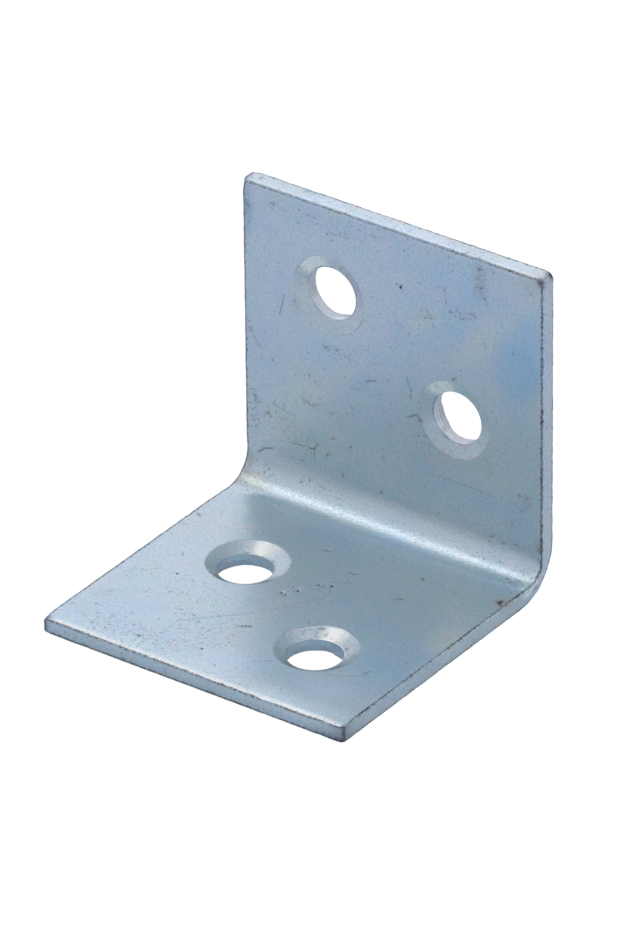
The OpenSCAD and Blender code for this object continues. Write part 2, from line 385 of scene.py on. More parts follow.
def screw_holes():
    """Each bore mount of the record as (name, across, along, radius) on the developed sheet."""
    holes = []
    for mount in frame["record"]["mounts"]:
        if mount["kind"] != "bore":
            continue
        x, y, z = (value / MM for value in mount["pos_m"])
        lies_flat = abs(mount["axis"][2]) > 0.5
        along = y - low.y if lies_flat else z - low.z - HEEL + FOOT_FLAT + BEND
        holes.append((mount["name"], x, along, mount["dims"]["r_mm"]))
    return holes


# ---- the mesh

class SheetMesh:
    """The points of the sheet, the values that the finish reads at each, and the faces between them."""

    # The dirt, rust, bare cut, countersink and pale patches (scraped on the edges, and also standing in for a
    # highlight in the countersinks), the distance from a hole's middle, the distances past the inner and the
    # outer edge line, in millimetres, with how dark each line is, and the colour factors, which carry painted
    # light and shade too
    PLAIN = {"soot": 0.0, "smear": 0.0, "rust": 0.0, "cut": 0.0, "cone": 0.0, "pale": 0.0, "radial": 0.0,
             "inner": -1.0, "inner_ink": 0.0, "outer": -1.0, "outer_ink": 0.0,
             "red": 1.0, "green": 1.0, "blue": 1.0}

    def __init__(self):
        self.points = np.empty((0, 3))
        self.values = {name: np.empty(0) for name in self.PLAIN}
        self.faces = []

    def add(self, points, **values):
        """Adds points and returns their numbers. A value that isn't given is the plain one."""
        first = len(self.points)
        points = np.asarray(points, float).reshape(-1, 3)
        self.points = np.vstack([self.points, points])
        for name, plain in self.PLAIN.items():
            given = np.broadcast_to(values.get(name, plain), len(points))
            self.values[name] = np.concatenate([self.values[name], given])
        return np.arange(first, first + len(points))

    def band(self, loop, following):
        """Quads between two closed loops of as many points."""
        ahead, following_ahead = np.roll(loop, -1), np.roll(following, -1)
        self.faces += np.stack([loop, ahead, following_ahead, following], 1).tolist()

    def fill(self, outer, inners, spots, turned):
        """Triangles over a face, from its outer loop to the loops of its holes, through the spots."""
        loops = [outer, *inners]
        numbers = np.concatenate([*loops, spots])
        flat = self.points[numbers, :2]
        edges, start = [], 0
        for loop in loops:
            edges += [(start + i, start + (i + 1) % len(loop)) for i in range(len(loop))]
            start += len(loop)
        _, _, triangles, sources, *_ = delaunay_2d_cdt([Vector(p) for p in flat], edges, [], 1, 1e-7, True)
        back = []
        for source in sources:
            if not source:
                raise ValueError("two edges of a face cross")
            back.append(numbers[source[0]])
        owner = np.full(len(self.points), -1)
        for order, loop in enumerate(inners):
            owner[loop] = order
        for triangle in triangles:
            corners = [back[i] for i in triangle]
            owners = {owner[i] for i in corners}
            if len(owners) == 1 and -1 not in owners:
                continue
            self.faces.append(corners[::-1] if turned else corners)


def border_path():
    """The strip's outline, once round. Each point has its place on the rectangle of the corners'
    centres, from -1 to 1 both ways, and its outward direction."""
    counts = (round(WIDTH / EDGE_STEP), round(LENGTH / EDGE_STEP)) * 2
    corners = ((-1, -1), (1, -1), (1, 1), (-1, 1))
    path = []
    for side, count in enumerate(counts):
        start, end = np.array(corners[side]), np.array(corners[(side + 1) % 4])
        heading = math.radians(90 * side - 90)
        outward = (math.cos(heading), math.sin(heading))
        for step in range(count + 1):
            path.append((*(start + (end - start) * step / count), *outward))
        for step in range(1, CORNER_STEPS):
            angle = heading + math.radians(90 * step / CORNER_STEPS)
            path.append((*end, math.cos(angle), math.sin(angle)))
    return np.array(path)


PATH = border_path()


def corner_radius():
    """The corner radius that holds at each point of the outline, even along the straight sides."""
    share_x, share_y = (PATH[:, 0] + 1) / 2, (PATH[:, 1] + 1) / 2
    front_left, front_right, top_right, top_left = CORNER_RADII
    front = front_left + (front_right - front_left) * share_x
    top = top_left + (top_right - top_left) * share_x
    return front + (top - front) * share_y


def border(inset):
    """The outline's points, each moved in by its inset."""
    radius = np.maximum(corner_radius() - inset, LEAST_RADIUS)
    across = PATH[:, 0] * (WIDTH / 2 - inset - radius) + PATH[:, 2] * radius
    along = LENGTH / 2 + PATH[:, 1] * (LENGTH / 2 - inset - radius) + PATH[:, 3] * radius
    return np.stack([across, along], 1)


def quarter(steps, from_face):
    """(share, inset, rise) along a rounded edge of radius 1, from the face to the cut or back."""
    turns = [math.pi / 2 * step / steps for step in range(steps + 1)]
    if not from_face:
        turns.reverse()
    return [(step / steps, 1 - math.sin(turn), 1 - math.cos(turn)) for step, turn in enumerate(turns)]


def tighter_fold(across, along):
    """How much deeper the inner face lies where the fold's inner radius is less than FOLD_R."""
    from_end = WIDTH / 2 - across
    radius = FOLD_R - TIGHT_BY * np.clip(across / (WIDTH / 2), 0, 1) ** 2
    radius -= PINCH_BY * np.exp(-from_end / PINCH_REACH)
    turn = np.clip((along - FOOT_FLAT) / FOLD_R, 0, math.pi / 2)
    offset = FOLD_R - radius
    ahead = offset * (np.sin(turn) + np.cos(turn))
    reach = ahead + np.sqrt(np.maximum(radius ** 2 - 2 * offset ** 2 + ahead ** 2, 0))
    plane = FOLD_R / np.maximum(np.sin(turn), np.cos(turn))
    tangent = np.arctan2(offset, FOLD_R)
    on_plane = (turn < tangent) | (turn > math.pi / 2 - tangent)
    return np.where(on_plane, plane, reach) - FOLD_R


def face_depth(spots):
    """How deep the inner face lies below its plane: drawn over by the shear, and squeezed by the fold."""
    across, along = spots.T
    drop = ROLLOVER_DROP * np.exp(-along / ROLLOVER_REACH) * smooth(WIDTH / 2 - across, 0.0, 7.0)
    in_fold = np.exp(-((along - FOOT_FLAT - BEND / 2) / (0.45 * BEND)) ** 2)
    drop = drop + DROOP * in_fold * np.exp(-(across + WIDTH / 2) / DROOP_REACH)
    return drop + tighter_fold(across, along)


def hue(factors):
    """Colour factors as the three values that a point stores."""
    return dict(zip(("red", "green", "blue"), factors))


def weighted(weights, *fields):
    """The sum of some fields, each times its weight."""
    return sum(weight * field for weight, field in zip(weights, fields))


def bell(points, centre, reach):
    """1 at the centre, falling off smoothly over the reach."""
    return np.exp(-(np.linalg.norm(points - centre, axis=1) / reach) ** 2)


def edge_hues_and_shade(outline, right, left, top, front):
    """The colour factors of the sheared edge, from how far each point faces each way. Besides colour they
    paint part of each side's light and shade: the top edge lighter, the front and left edges darker.
    """
    upper = smooth(outline[:, 1], FOOT_FLAT + 1, FOOT_FLAT + BEND + 2)
    drift = 1 + 0.07 * wobbles(outline, 0.22, 8)
    for across, along, share, reach in EDGE_SHADES:
        drift = drift - share * bell(outline, (across, along), reach)
    edges = zip(RIGHT_FOOT_EDGE, RIGHT_UPRIGHT_EDGE, FRONT_EDGE, TOP_EDGE, LEFT_EDGE)
    factors = []
    for foot, upright, ahead, above, other in edges:
        side = right * (foot + (upright - foot) * upper)
        factors.append((side + left * other + top * above + front * ahead) * drift)
    return factors


def edge_loops(front, scraped, drawn, wave, inner_r, outer_r):
    """(inset, depth, values) of each loop of the sheared edge, from the inner face to the outer one."""
    flat = np.zeros(len(PATH))
    inner_line, outer_line = ARRIS * inner_r, ARRIS * outer_r
    start = wave + inner_r
    between = 0.55 * start + 0.45 * EDGE_RING
    yield flat + EDGE_RING, face_depth(border(flat + EDGE_RING)), {"inner": -0.9}
    yield (between, face_depth(border(between)),
           {"inner": start - between - inner_line, "pale": 0.40 * scraped})
    yield start + 0.06, drawn, {"inner": -0.06 - inner_line, "pale": scraped}
    for share, inset, rise in quarter(INNER_STEPS, True):
        yield (wave + inset * inner_r, drawn + rise * inner_r,
               {"inner": (2 * share - 1) * inner_line, "cut": share, "pale": scraped * (1 - 0.8 * share)})
    upper, lower = drawn + inner_r, SHEET - outer_r
    for share in CUT_SHARES:
        depth = upper + (lower - upper) * share
        yield (wave, depth, {"inner": depth - upper + inner_line, "cut": 1.0,
                             "outer": depth - lower - outer_line + 0.04 * front})
    for share, inset, rise in quarter(OUTER_STEPS, False):
        yield (wave + inset * outer_r, SHEET - rise * outer_r,
               {"outer": (2 * share - 1) * outer_line, "cut": 1 - share})
    yield wave + outer_r + 0.05, flat + SHEET, {"outer": 0.05 + outer_line}
    yield flat + EDGE_RING, flat + SHEET, {"outer": 0.8}


def sheared_edge(mesh):
    """Adds the strip's edge all round, and returns its first and last loop."""
    right, left = np.clip(PATH[:, 2], 0, 1) ** 2, np.clip(-PATH[:, 2], 0, 1) ** 2
    top, front = np.clip(PATH[:, 3], 0, 1) ** 2, np.clip(-PATH[:, 3], 0, 1) ** 2
    outline = border(np.zeros(len(PATH)))
    jogs = wobbles(outline, 1.1, 1) + 0.6 * wobbles(outline, 2.9, 2)
    slow = wobbles(outline, 0.35, 3)
    wave = 0.03 + 0.03 * np.clip(jogs, -1, 1)
    inner_r = INNER_R * (1 + 0.3 * jogs) + INNER_TOP_R * top
    outer_r = OUTER_R * (1 + 0.2 * jogs)
    for across, along, inner_added, outer_added, reach in ROLLED_CORNERS:
        near = bell(outline, (across, along), reach)
        inner_r = inner_r + inner_added * near
        outer_r = outer_r + outer_added * near
    inner_ink = weighted(INNER_INK, right, top, front, left, slow)
    outer_ink = weighted(OUTER_INK, right, top, front, left, slow)
    ink = {"inner_ink": np.clip(inner_ink, 0.2, 1.2), "outer_ink": np.clip(outer_ink, 0.1, 1)}
    scraped = np.clip(1.5 * front + 0.25 * top + 0.3 * slow * (front + top), 0, 1.5)
    scraped = scraped * smooth(outline[:, 0] + WIDTH / 2, 0.4, 1.8)
    shift = weighted(LINE_SHIFT, top, right, left, front)
    factors = edge_hues_and_shade(outline, right, left, top, front)
    loops = []
    for inset, depth, values in edge_loops(front, scraped, face_depth(outline), wave, inner_r, outer_r):
        bare = min(values.get("cut", 0.0) * 1.5, 1.0)
        values.update(hue([1 + (factor - 1) * bare for factor in factors]), **ink)
        values["inner"] = values.get("inner", -1.0) + shift
        loops.append(mesh.add(np.column_stack([border(inset), depth]), **values))
    for here, following in zip(loops, loops[1:]):
        mesh.band(following, here)
    return loops[0], loops[-1]


def sector(turns, middle, share, half, power=2):
    """A share that holds at one direction, in degrees, and falls off to both sides of it."""
    off = (turns - math.radians(middle) + math.pi) % (2 * math.pi) - math.pi
    return share * np.exp(-(off / half) ** power)


def sink_loops(rim_at, bore_at, bore_r, values):
    """(centre, radius, depth, values) of each loop of the soft rim, the oblique countersink and the lip."""
    for out, depth in ((RING_GAP, 0.0), (0.09, 0.0), (0.03, SOFT_RIM)):
        yield rim_at, RIM_R + out, depth, {"inner": -out}
    slant = RIM_R - bore_r
    for share in SINK_SHARES:
        place = {"inner": slant * share, "outer": slant * (share - 1), "radial": RIM_R - slant * share}
        yield (rim_at + (bore_at - rim_at) * share, RIM_R - slant * share, SINK_DEPTH * share + SOFT_RIM,
               {"cut": 0.5, "cone": 1.0, **place, **values})
    yield bore_at, bore_r + 0.005, SINK_DEPTH + 0.3 * LIP, {"outer": 0.0, "cut": 0.6}


def bore_loops(bore_at, bore_r, ragged, uneven, rubbed, stands_in, factors):
    """The same for the bore's wall, the break-out, where the punch tore the metal off, and the back."""
    values = {"cut": 1.0, **hue(factors)}
    yield bore_at, bore_r, SINK_DEPTH + LIP, {**values, "outer": LIP, "cut": 0.8}
    land = 0.62 * SHEET + 0.10 * ragged
    for share, rubbing, tear in WALL:
        depth = SINK_DEPTH + LIP + (land - SINK_DEPTH - LIP) * share
        bright = 1 + rubbing * rubbed
        yield (bore_at, bore_r - tear * stands_in, depth,
               {**values, "outer": depth - SINK_DEPTH, **hue([factor * bright for factor in factors])})
    for share in BREAKOUT_SHARES:
        radius = bore_r + BREAKOUT * share ** 0.5 * (0.5 + 0.5 * uneven) - (0.66 + 0.34 * share) * stands_in
        yield bore_at, radius, land + (SHEET - 0.06 - land) * share, {**values, "soot": 0.12 * uneven * share}
    back_r = bore_r + BREAKOUT * (0.5 + 0.5 * uneven) - stands_in
    yield bore_at, back_r + 0.05, SHEET, {"soot": 0.35 * np.clip(uneven, 0, 1), "cut": 0.5}
    widest = bore_r + 1.6 * BREAKOUT + 0.15
    yield bore_at, widest, SHEET, {}
    yield bore_at, widest + RING_GAP, SHEET, {}


def screw_hole(mesh, seed, name, across, along, bore_r):
    """Adds one countersunk hole, and returns its first and last loop."""
    faults = HOLE_FAULTS[name]
    turns = np.linspace(0, 2 * math.pi, HOLE_STEPS, endpoint=False)
    pale, painted_glint, painted_shade, rubbed, torn, nick = (
        sector(turns, *faults.get(kind, NO_FAULT))
        for kind in ("scraped_and_highlight", "painted_glint", "painted_shade", "rubbed", "torn", "nick"))
    pale = pale * (1 - painted_glint)
    way = np.stack([np.cos(turns), np.sin(turns)], 1)
    bore_at = np.array([across, along])
    ragged = wobbles(way, 2.2, 10 + seed) + 0.6 * wobbles(way, 7.0, 20 + seed)
    uneven = np.clip(0.45 + 0.8 * ragged, 0, 1.4) + nick
    ink = {"inner_ink": np.clip(0.16 + 0.5 * wobbles(way, 1.4, 30 + seed), 0.0, 0.5),
           "outer_ink": np.clip(0.25 + 0.6 * wobbles(way, 1.7, 40 + seed), 0.0, 0.7)}
    # One side of each countersink is darkened at the dull sector: painted shade.
    sink, scraped, bore = FOOT_HUES if name.startswith("foot") else UPRIGHT_HUES
    # A highlight is painted into the countersink's colour at the glint, so it is brighter and warmer there.
    cone_hue = hue([(1 - painted_shade) * (1 + painted_glint * shine) * (plain + (light - plain) * np.clip(pale, 0, 1))
                    for plain, light, shine in zip(sink, scraped, PAINTED_GLINT_HUE)])
    places = [*sink_loops(bore_at + faults["off_centre"], bore_at, bore_r, {"pale": pale, **cone_hue}),
              *bore_loops(bore_at, bore_r, ragged, uneven, rubbed, torn, bore)]
    loops = []
    for centre, radius, depth, values in places:
        if "radial" in values:
            values["radial"] += GROOVE_SHIFT * seed
        spots = centre + way * np.broadcast_to(radius, HOLE_STEPS)[:, None]
        spots = np.column_stack([spots, np.broadcast_to(depth, HOLE_STEPS)])
        loops.append(mesh.add(spots, **values, **ink))
    for here, following in zip(loops, loops[1:]):
        mesh.band(here, following)
    return loops[0], loops[-1]


def resampled(points, step):
    """Points about a step apart along a line through the given points."""
    points = np.asarray(points, float)
    lengths = np.linalg.norm(np.diff(points, axis=0), axis=1)
    places = np.concatenate([[0], np.cumsum(lengths)])
    wanted = np.linspace(0, places[-1], max(2, round(places[-1] / step) + 1))
    return np.stack([np.interp(wanted, places, points[:, i]) for i in (0, 1)], 1)


def mark_spots():
    """Extra points on the inner face, close enough together to carry the pits and strokes."""
    spots = []
    for across, along, radius, *_ in PITS + DOTS:
        spots.append((across, along))
        for share, count in ((0.5, 6), (1.0, 9), (1.7, 10)):
            for step in range(count):
                turn = 2 * math.pi * (step + share) / count
                away = share * radius
                spots.append((across + away * math.cos(turn), along + away * math.sin(turn)))
    for half, _, points in STROKES:
        line = resampled(points, max(2 * half, 0.16))
        heading = np.gradient(line, axis=0)
        heading /= np.linalg.norm(heading, axis=1)[:, None]
        side = np.stack([-heading[:, 1], heading[:, 0]], 1)
        for share in (-2.0, -1.0, 0.0, 1.0, 2.0):
            spots += [tuple(p) for p in line + side * share * half]
    return np.array(spots)


def grid_spots():
    """Evenly spread points on a face, in closer rows where the sheet bends and at the foot's free end."""
    rows, along = [], 0.0
    while along < LENGTH:
        in_bend = FOOT_FLAT - 0.5 < along < FOOT_FLAT + BEND + 0.3
        near_end = along < FREE_END
        along += BEND_STEP if in_bend else FREE_END_STEP if near_end else FLAT_STEP
        rows.append(along)
    places = np.linspace(-WIDTH / 2, WIDTH / 2, round(WIDTH / FLAT_STEP) + 1)
    spots = [(x, s) for s in rows for x in places]
    near_side = np.arange(WIDTH / 2 - BEND_END, WIDTH / 2, BEND_END_STEP)
    bent = [s for s in rows if FOOT_FLAT - 0.8 < s < FOOT_FLAT + BEND + 0.8]
    limit = WIDTH / 2 - BEND_END - 0.2
    for side in (-1, 1):
        spots = [(x, s) for x, s in spots if s not in bent or side * x <= limit]
        spots += [(side * x, s) for s in bent for x in near_side]
    return np.array(spots)


def clear_of(spots, others, gap):
    """The spots that lie at least a gap from all the others."""
    keep = np.ones(len(spots), bool)
    for start in range(0, len(others), BLOCK):
        block = others[start:start + BLOCK]
        apart = ((spots[:, None] - block[None]) ** 2).sum(2)
        keep &= apart.min(1) > gap ** 2
    return spots[keep]


def thinned(spots, gap):
    """The spots, less those that lie within a gap of an earlier one."""
    kept, cells = [], set()
    for spot in spots:
        cell = (round(spot[0] / gap), round(spot[1] / gap))
        if cell not in cells:
            cells.add(cell)
            kept.append(spot)
    return np.array(kept)


def inside_edges(spots, outer, rings, gap):
    """The spots that lie on the face: inside its outer loop and outside its hole rings, by a gap."""
    limit = np.abs(outer - [0, LENGTH / 2]).max(0) - gap - 0.12
    keep = (np.abs(spots - [0, LENGTH / 2]) < limit).all(1)
    for ring in rings:
        centre = ring.mean(0)
        radius = np.linalg.norm(ring - centre, axis=1).max()
        keep &= np.linalg.norm(spots - centre, axis=1) > radius + gap
    return spots[keep]


def nearness(spots, points, half):
    """1 on a line through the points, falling to 0 about two half widths from it."""
    points = np.asarray(points, float)
    best = np.full(len(spots), 1e9)
    for start, end in zip(points, points[1:]):
        run = end - start
        share = np.clip((spots - start) @ run / (run @ run), 0, 1)
        away = np.linalg.norm(spots - start - share[:, None] * run, axis=1)
        best = np.minimum(best, away)
    return np.exp(-((best / half) ** 2) * MARK_FALL)


def marked(spots):
    """(depth, soot, smear, rust) that the marks give each spot of the inner face."""
    depth, soot, smear, rust = np.zeros((4, len(spots)))
    for number, (across, along, radius, rusty) in enumerate(PITS):
        apart = spots - (across, along)
        bearing = np.arctan2(apart[:, 1], apart[:, 0])
        lumpy = 1 + 0.35 * np.sin(2 * bearing + number) + 0.2 * np.sin(3 * bearing + 2.3 * number)
        away = np.linalg.norm(apart, axis=1) / (radius * lumpy)
        near = np.exp(-(away ** 2) * MARK_FALL)
        black = 0.32 + 0.38 * abs(math.sin(3.7 * number)) - 0.15 * rusty
        depth += PIT_DEPTH * radius * near
        soot = np.maximum(soot, near * black)
        rust = np.maximum(rust, near * rusty)
    for across, along, radius in DOTS:
        away = np.linalg.norm(spots - (across, along), axis=1) / radius
        near = 1 - smooth(away, 0.70, 1.25)
        depth += DOT_DEPTH * radius * near
        soot = np.maximum(soot, near)
    for half, black, points in STROKES:
        near = nearness(spots, points, half)
        depth += STROKE_DEPTH * half * near
        smear = np.maximum(smear, near * black)
    for across, along, half_width, half_length, strength in STAINS:
        away = np.hypot((spots[:, 0] - across) / half_width, (spots[:, 1] - along) / half_length)
        rust = np.maximum(rust, strength * np.exp(-away ** 2))
    return depth, soot, smear, rust


def inner_face(mesh, outer, rings):
    """The face that shows inside the fold, with its pits, strokes and stains."""
    outer_spots = mesh.points[outer, :2]
    ring_spots = [mesh.points[ring, :2] for ring in rings]
    marks = thinned(mark_spots(), MARK_SPACING)
    marks = inside_edges(marks, outer_spots, ring_spots, MARK_CLEARANCE)
    grid = inside_edges(grid_spots(), outer_spots, ring_spots, GRID_CLEARANCE)
    grid = clear_of(grid, marks, GRID_CLEARANCE)
    spots = np.vstack([marks, grid])
    depth, soot, smear, rust = marked(spots)
    numbers = mesh.add(np.column_stack([spots, face_depth(spots) + depth]), soot=soot, smear=smear, rust=rust)
    mesh.fill(outer, rings, numbers, False)


def outer_face(mesh, outer, rings):
    """The back of the upright and the underside of the foot."""
    outer_spots = mesh.points[outer, :2]
    ring_spots = [mesh.points[ring, :2] for ring in rings]
    spots = inside_edges(grid_spots(), outer_spots, ring_spots, GRID_CLEARANCE)
    numbers = mesh.add(np.column_stack([spots, np.full(len(spots), SHEET)]))
    mesh.fill(outer, rings, numbers, True)


def stained_loops(mesh):
    """Carries the marks onto the loops round the inner face, and adds the dirt at the corners."""
    shallow = mesh.points[:, 2] < 0.6
    for name, marks in zip(("soot", "smear", "rust"), marked(mesh.points[shallow, :2])[1:]):
        mesh.values[name][shallow] = np.maximum(mesh.values[name][shallow], marks)
    soot = mesh.values["soot"]
    for across, along, radius, strength in CORNER_SEAMS:
        soot = np.maximum(soot, strength * bell(mesh.points[:, :2], (across, along), radius))
    for across, along, depth, radius, strength in CORNER_DIRT:
        soot = np.maximum(soot, strength * bell(mesh.points, (across, along, depth), radius))
    mesh.values["soot"] = soot


def spread(points, patches, core, rim):
    """How much of each patch lies at each point: all of it inside the core, none beyond the rim."""
    shares = []
    for across, along, half_width, half_length, turn, *_ in patches:
        apart = points[:, :2] - (across, along)
        cos, sin = math.cos(math.radians(turn)), math.sin(math.radians(turn))
        u = (apart[:, 0] * cos + apart[:, 1] * sin) / half_width
        v = (apart[:, 1] * cos - apart[:, 0] * sin) / half_length
        shares.append(1 - smooth(np.hypot(u, v), core, rim))
    return np.array(shares)


def patch_values(mesh):
    """The wear and the tint at each point. Only the inner side has patches."""
    across, along, depth = mesh.points.T
    inside = (depth < SHEET / 2).astype(float)
    worn = spread(mesh.points, WORN, *SOFT) * np.array([patch[5] for patch in WORN])[:, None]
    on_rim = (np.abs(across) > WIDTH / 2 - 0.3) | (np.abs(along - LENGTH / 2) > LENGTH / 2 - 0.3)
    wear = np.maximum(np.where(on_rim, CUT_WEAR, BASE_WEAR), worn.max(0) * inside)
    tint = np.stack([mesh.values.pop(name) for name in ("red", "green", "blue")], 1)
    shares = np.vstack([spread(mesh.points, TINTS, *SOFT), spread(mesh.points, EDGED_TINTS, *EDGED)])
    for share, patch in zip(shares, TINTS + EDGED_TINTS):
        tint *= 1 + (share * inside)[:, None] * (np.array(patch[5]) - 1)
    return wear, tint


def write_attributes(data, mesh):
    """Stores what the finish reads: the place on the sheet, the marks and the patches."""
    wear, tint = patch_values(mesh)
    mesh.values["wear"] = wear
    for name, vectors in (("sheet", mesh.points), ("tint", tint)):
        held = data.attributes.new(name, "FLOAT_VECTOR", "POINT")
        held.data.foreach_set("vector", vectors.astype(np.float32).ravel())
    for name, values in mesh.values.items():
        held = data.attributes.new(name, "FLOAT", "POINT")
        held.data.foreach_set("value", values.astype(np.float32))


def make_brace():
    """The folded strip as one closed mesh."""
    mesh = SheetMesh()
    inner_loop, outer_loop = sheared_edge(mesh)
    rings = [screw_hole(mesh, seed, *hole) for seed, hole in enumerate(screw_holes())]
    inner_rings, outer_rings = zip(*rings)
    inner_face(mesh, inner_loop, inner_rings)
    outer_face(mesh, outer_loop, outer_rings)
    stained_loops(mesh)
    data = bpy.data.meshes.new("folded_strip")
    data.from_pydata(folded(mesh.points).tolist(), [], mesh.faces)
    write_attributes(data, mesh)
    data.polygons.foreach_set("use_smooth", [True] * len(data.polygons))
    data.update()
    brace = bpy.data.objects.new("folded_strip", data)
    bpy.context.scene.collection.objects.link(brace)
    return brace


# ---- the finish

class Nodes:
    """Short calls that add nodes to one tree."""

    def __init__(self, tree):
        self.tree = tree
        tree.nodes.clear()

    def add(self, kind, inputs=(), **settings):
        node = self.tree.nodes.new(kind)
        for name, value in settings.items():
            setattr(node, name, value)
        for key, value in dict(inputs).items():
            if isinstance(value, bpy.types.NodeSocket):
                self.tree.links.new(value, node.inputs[key])
            else:
                node.inputs[key].default_value = value
        return node

    def math(self, operation, *values, clamp=False):
        return self.add("ShaderNodeMath", enumerate(values), operation=operation, use_clamp=clamp).outputs[0]

    def times(self, first, *others, clamp=False):
        for other in others:
            first = self.math("MULTIPLY", first, other, clamp=clamp)
        return first

    def less(self, value, taken, clamp=False):
        return self.math("SUBTRACT", value, taken, clamp=clamp)

    def over(self, value, divisor, clamp=False):
        return self.math("DIVIDE", value, divisor, clamp=clamp)

    def largest(self, first, *others):
        for other in others:
            first = self.math("MAXIMUM", first, other)
        return first

    def vector(self, name):
        return self.add("ShaderNodeAttribute", attribute_name=name).outputs["Vector"]

    def value(self, name):
        return self.add("ShaderNodeAttribute", attribute_name=name).outputs["Fac"]

    def split(self, vector):
        return self.add("ShaderNodeSeparateXYZ", {0: vector}).outputs

    def stretched(self, vector, scale):
        inputs = {0: vector, 1: scale}
        return self.add("ShaderNodeVectorMath", inputs, operation="MULTIPLY").outputs[0]

    def clouds(self, vector, scale, detail=2.0, rough=0.5, warp=0.0):
        inputs = {"Vector": vector, "Scale": scale, "Detail": detail, "Roughness": rough, "Distortion": warp}
        return self.add("ShaderNodeTexNoise", inputs).outputs["Fac"]

    def span(self, value, start, end, to_start=0.0, to_end=1.0, kind="LINEAR"):
        inputs = {"Value": value, "From Min": start, "From Max": end, "To Min": to_start, "To Max": to_end}
        return self.add("ShaderNodeMapRange", inputs, interpolation_type=kind).outputs["Result"]

    def mix(self, share, first, second, blend="MIX"):
        inputs = {"Factor": share, 6: first, 7: second}
        return self.add("ShaderNodeMix", inputs, data_type="RGBA", blend_type=blend).outputs[2]

    def grey(self, value):
        """A value as a grey colour."""
        return self.add("ShaderNodeCombineColor", {0: value, 1: value, 2: value}).outputs[0]


ZINC = (0.550, 0.650, 0.675, 1)
ZINC_BLUE = (0.500, 0.630, 0.695, 1)
ZINC_LILAC = (0.575, 0.640, 0.695, 1)
ZINC_TEAL = (0.515, 0.660, 0.665, 1)
ZINC_CUT = (0.595, 0.635, 0.655, 1)
# Pale of scraped plating. In the countersinks it also stands in for a highlight, as painted light.
PALE_SCRAPE_AND_SHEEN = (0.96, 0.98, 0.90, 1)
SOOT = (0.040, 0.040, 0.050, 1)
RUST = (0.42, 0.33, 0.21, 1)


def zinc_colour(n, place, soot, rust, cut, pale):
    """Bright zinc with soft drifts of blue, teal and lilac, a fine mottle and its dirt, with some painted
    light and shade that the tint and the pale carry.
    """
    colour = n.mix(n.span(n.clouds(place, 0.13, 2.0, 0.5, 0.6), 0.42, 0.62), ZINC, ZINC_BLUE)
    colour = n.mix(n.span(n.clouds(place, 0.45, 3.0, 0.6, 0.4), 0.50, 0.68), colour, ZINC_LILAC)
    colour = n.mix(n.span(n.clouds(place, 0.27, 2.0), 0.52, 0.70), colour, ZINC_TEAL)
    bare = n.span(n.clouds(place, 0.9, 3.0, 0.6), 0.40, 0.60, 0.15, 0.95)
    colour = n.mix(n.times(cut, bare), colour, ZINC_CUT)
    mottle = n.span(n.clouds(place, 3.0, 4.0, 0.68), 0.3, 0.7, 0.88, 1.12)
    colour = n.mix(1.0, colour, n.grey(mottle), "MULTIPLY")
    colour = n.mix(pale, colour, PALE_SCRAPE_AND_SHEEN)
    colour = n.mix(1.0, colour, n.vector("tint"), "MULTIPLY")
    colour = n.mix(n.times(rust, 0.8), colour, RUST)
    return n.mix(soot, colour, SOOT)


def specks(n, place, wear, cut):
    """Small dark marks scattered over the face, closer together where it is worn, few on the edges."""
    field = n.clouds(place, 2.7, 3.0, 0.62, 0.2)
    limit = n.less(n.span(wear, 0.0, 1.0, 0.325, 0.415), n.times(cut, 0.035))
    return n.times(n.over(n.less(limit, field), 0.045, clamp=True), 0.55)


def scribbles(n, place, wear):
    """Short thin dark strokes that wander, where the face is worn."""
    ridge = n.math("ABSOLUTE", n.less(n.clouds(place, 0.95, 4.0, 0.66, 1.1), 0.5))
    thin = n.less(1.0, n.over(ridge, 0.026), clamp=True)
    start = n.span(wear, 0.2, 1.0, 0.62, 0.48)
    part = n.over(n.less(n.clouds(place, 1.55, 2.0, 0.6), start), 0.06, clamp=True)
    return n.times(thin, part, 0.5)


def edge_line(n, place, name, offset, least, most):
    """A dark line along an edge, with jogs and gaps: the more ink, the wider and the less broken."""
    distance = n.value(name)
    ink = n.value(name + "_ink")
    jog = n.span(n.clouds(place, 2.2, 4.0, 0.70), 0.0, 1.0, offset - 0.30, offset + 0.30)
    away = n.math("ABSOLUTE", n.math("ADD", distance, jog))
    swell = n.span(n.clouds(place, 2.3, 2.0), 0.35, 0.65, 0.7, 1.3)
    width = n.times(swell, n.span(ink, 0.0, 1.2, least, most))
    line = n.less(1.0, n.math("POWER", n.over(away, width), 2.0), clamp=True)
    broken = n.span(n.clouds(place, 2.9, 2.0, 0.6), 0.38, 0.54, 0.15, 1.0)
    whole = n.largest(broken, n.times(ink, 0.68))
    return n.times(n.times(line, whole), n.times(ink, 0.9), clamp=True)


def ragged(n, place, value, least):
    """A mark's value with uneven edges and gaps."""
    return n.times(value, n.span(n.clouds(place, 5.5, 3.0, 0.6), 0.36, 0.60, least, 1.15), clamp=True)


